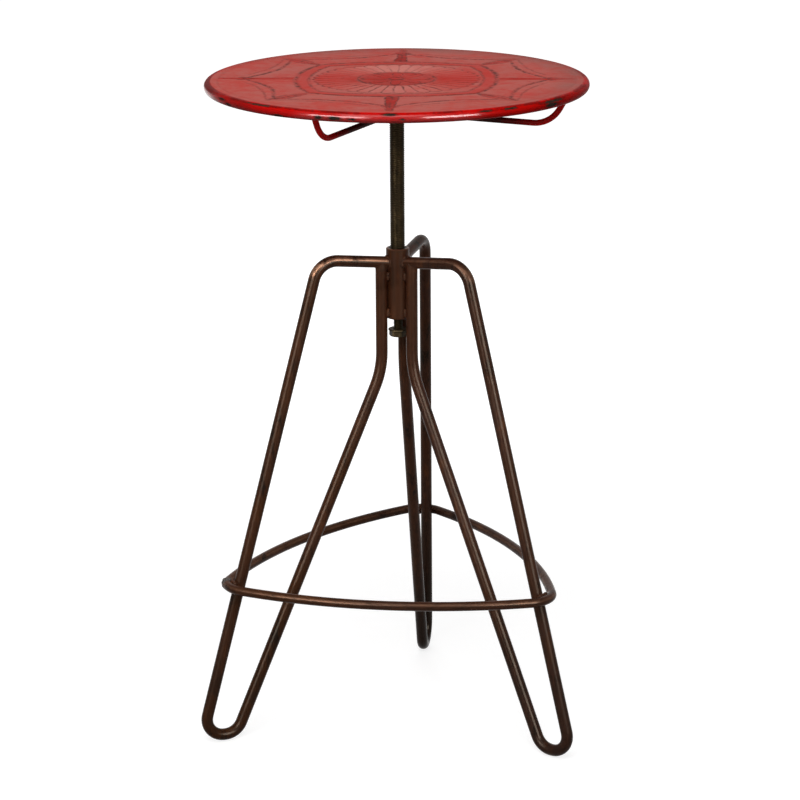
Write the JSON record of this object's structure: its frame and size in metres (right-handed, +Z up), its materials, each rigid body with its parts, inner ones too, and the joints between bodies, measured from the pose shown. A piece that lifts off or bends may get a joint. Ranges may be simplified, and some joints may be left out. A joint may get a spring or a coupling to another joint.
{
  "type": "wine table",
  "caption": "Small round side table with a red pressed-steel top on a screw spindle, held by hairpin rod legs that a rounded triangular foot ring ties together.",
  "frame": {"origin": "on the floor under the spindle's axis", "axes": "+Z up along the spindle; +Y towards the foot of the back leg; +X to the right of someone who faces the front side of the foot ring"},
  "size_m": [0.4059, 0.4357, 0.714],
  "materials": {
    "enamel": "glossy red enamel, chipped along the rim, with a worn darker rosette on the upper face",
    "arm_paint": "dark red-black paint",
    "frame_paint": "dark brown lacquer rubbed through to copper-coloured streaks",
    "spindle_steel": "oiled dark steel",
    "bare_steel": "plain steel wire inside the rolled rim"
  },
  "bodies": {
    "base": {"sleeve": "frame_paint", "upper_bush": "spindle_steel", "lower_bush": "spindle_steel", "leg_left": "frame_paint", "leg_right": "frame_paint", "leg_back": "frame_paint", "foot_ring": "frame_paint"},
    "lift": {"stop_washer": "spindle_steel"},
    "top": {"tabletop": "enamel", "rim_wire": "bare_steel", "mounting_plate": "arm_paint", "top_hub": "arm_paint", "brace_arm_1": "arm_paint", "brace_arm_2": "arm_paint", "brace_arm_3": "arm_paint", "brace_arm_4": "arm_paint", "spindle": "spindle_steel", "stop_bolt": "spindle_steel"}
  },
  "joints": [
    {"name": "height", "type": "slide", "parent": "base", "child": "lift", "axis": [0, 0, 1], "range_m": [-0.1402, 0.0112]},
    {"name": "turn", "type": "hinge", "parent": "lift", "child": "top", "pos_m": [0, 0, 0.6], "axis": [0, 0, 1], "range_deg": [-25200, 1980]}
  ],
  "couplings": [
    {"joint": "height", "follows": "turn", "m_per_rad": 0.00031831}
  ]
}
